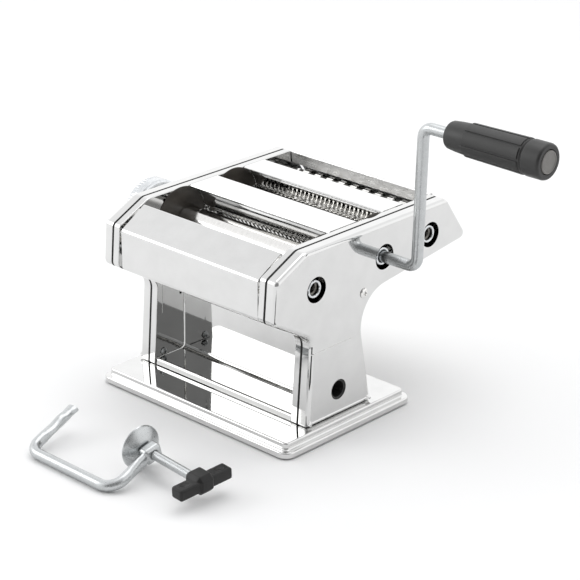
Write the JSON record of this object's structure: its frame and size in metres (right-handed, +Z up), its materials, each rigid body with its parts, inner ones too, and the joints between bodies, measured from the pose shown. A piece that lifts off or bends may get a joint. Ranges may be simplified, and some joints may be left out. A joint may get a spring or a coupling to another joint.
{
  "type": "pasta roller machine",
  "caption": "Hand-cranked table-top dough roller and cutter in polished steel, with thickness dial, pull-out crank and a separate screw clamp.",
  "frame": {"origin": "middle of the whole set's bounding box, at table level, with the clamp lying in front of the machine", "axes": "+X along the rollers towards the crank, -Y the machine's front, +Z up"},
  "size_m": [0.3601, 0.3434, 0.2525],
  "materials": {
    "polished_steel": "mirror-polished stainless sheet",
    "turned_steel": "fine-turned bright steel",
    "chromed_steel": "bright chrome plate",
    "zinc_steel": "satin zinc plate",
    "gear_steel": "greased sintered steel",
    "black_plastic": "black moulded plastic, satin",
    "grey_plastic": "grey moulded plastic",
    "white_plastic": "off-white acetal",
    "black_rubber": "black rubber"
  },
  "bodies": {
    "frame": {"base_tray": "polished_steel", "foot_pad_left_front": "black_rubber", "foot_pad_left_rear": "black_rubber", "foot_pad_right_front": "black_rubber", "foot_pad_right_rear": "black_rubber", "side_plate_left": "polished_steel", "side_plate_right": "polished_steel", "side_cover_left": "polished_steel", "side_cover_right": "polished_steel", "cover_rivet_left": "turned_steel", "cover_rivet_right": "turned_steel", "leg_bracket_left": "zinc_steel", "leg_bracket_right": "zinc_steel", "leg_bolt_left_front": "zinc_steel", "leg_bolt_left_rear": "zinc_steel", "leg_bolt_right_front": "zinc_steel", "leg_bolt_right_rear": "zinc_steel", "clamp_sleeve": "black_plastic", "fascia": "polished_steel", "panel_center": "polished_steel", "panel_rear": "polished_steel", "back_guard": "polished_steel", "belly_plate": "polished_steel", "tie_rod_front": "zinc_steel", "tie_rod_rear": "zinc_steel", "scraper_front": "white_plastic", "scraper_rear": "white_plastic", "comb_mid_front": "white_plastic", "comb_mid_rear": "white_plastic", "comb_rear_front": "white_plastic", "comb_rear_rear": "white_plastic", "dial_collar": "chromed_steel"},
    "smooth_drive": {"roller_drive": "turned_steel", "gear_drive": "gear_steel", "socket_front": "chromed_steel"},
    "adjust_carriage": {"adjust_bush_left": "white_plastic", "adjust_bush_right": "white_plastic"},
    "smooth_adjust": {"roller_adjust": "turned_steel", "gear_adjust": "gear_steel"},
    "dial_spindle": {"dial_shaft": "zinc_steel"},
    "dial": {"dial_knob": "chromed_steel"},
    "mid_drive": {"cutter_narrow_drive": "turned_steel", "gear_narrow_drive": "gear_steel", "socket_center": "chromed_steel"},
    "mid_driven": {"cutter_narrow_driven": "turned_steel", "gear_narrow_driven": "gear_steel"},
    "rear_drive": {"cutter_wide_drive": "turned_steel", "gear_wide_drive": "gear_steel", "socket_rear": "chromed_steel"},
    "rear_driven": {"cutter_wide_driven": "turned_steel", "gear_wide_driven": "gear_steel"},
    "crank": {"crank_rod": "zinc_steel"},
    "crank_handle": {"crank_grip": "black_plastic", "crank_grip_cap": "grey_plastic"},
    "table_clamp": {"clamp_bar": "zinc_steel"},
    "clamp_foot": {"clamp_pad": "zinc_steel"},
    "clamp_spindle": {"clamp_screw": "zinc_steel", "clamp_wing": "black_plastic"}
  },
  "joints": [
    {"name": "smooth_drive_turn", "type": "hinge", "parent": "frame", "child": "smooth_drive", "pos_m": [-0.0592, -0.0035, 0.1232], "axis": [1, 0, 0], "continuous": true},
    {"name": "thickness_slide", "type": "slide", "parent": "frame", "child": "adjust_carriage", "axis": [0, -1, 0], "range_m": [0, 0.0019]},
    {"name": "smooth_adjust_turn", "type": "hinge", "parent": "adjust_carriage", "child": "smooth_adjust", "pos_m": [-0.0592, 0.0268, 0.124], "axis": [1, 0, 0], "continuous": true},
    {"name": "dial_turn", "type": "hinge", "parent": "frame", "child": "dial_spindle", "pos_m": [-0.1592, 0.0268, 0.124], "axis": [-1, 0, 0], "range_deg": [0, 320]},
    {"name": "dial_pull", "type": "slide", "parent": "dial_spindle", "child": "dial", "axis": [-1, 0, 0], "range_m": [0, 0.0045], "stiffness_N_per_m": 600},
    {"name": "mid_drive_turn", "type": "hinge", "parent": "frame", "child": "mid_drive", "pos_m": [-0.0592, 0.0725, 0.1276], "axis": [1, 0, 0], "continuous": true},
    {"name": "mid_driven_turn", "type": "hinge", "parent": "frame", "child": "mid_driven", "pos_m": [-0.0592, 0.0937, 0.1276], "axis": [1, 0, 0], "continuous": true},
    {"name": "rear_drive_turn", "type": "hinge", "parent": "frame", "child": "rear_drive", "pos_m": [-0.0592, 0.1263, 0.1306], "axis": [1, 0, 0], "continuous": true},
    {"name": "rear_driven_turn", "type": "hinge", "parent": "frame", "child": "rear_driven", "pos_m": [-0.0592, 0.1475, 0.1306], "axis": [1, 0, 0], "continuous": true},
    {"name": "crank_pull", "type": "slide", "parent": "mid_drive", "child": "crank", "axis": [1, 0, 0], "range_m": [0, 0.06]},
    {"name": "handle_spin", "type": "hinge", "parent": "crank", "child": "crank_handle", "pos_m": [0.1308, 0.0725, 0.2388], "axis": [1, 0, 0], "continuous": true},
    {"name": "clamp_lift", "type": "slide", "parent": "frame", "child": "table_clamp", "axis": [0, 0, 1], "range_m": [0, 0.08]},
    {"name": "clamp_feed", "type": "slide", "parent": "table_clamp", "child": "clamp_foot", "axis": [-0.9969, 0.0752, 0.0223], "range_m": [0, 0.03]},
    {"name": "clamp_screw_turn", "type": "hinge", "parent": "clamp_foot", "child": "clamp_spindle", "pos_m": [-0.0172, -0.12573, 0.01694], "axis": [-0.9969, 0.0752, 0.0223], "range_deg": [0, 8640]}
  ],
  "couplings": [
    {"joint": "smooth_adjust_turn", "follows": "smooth_drive_turn", "ratio": -1},
    {"joint": "mid_driven_turn", "follows": "mid_drive_turn", "ratio": -1},
    {"joint": "rear_driven_turn", "follows": "rear_drive_turn", "ratio": -1},
    {"joint": "dial_turn", "follows": "thickness_slide", "rad_per_m": 2939},
    {"joint": "clamp_screw_turn", "follows": "clamp_feed", "rad_per_m": 5026.5}
  ]
}
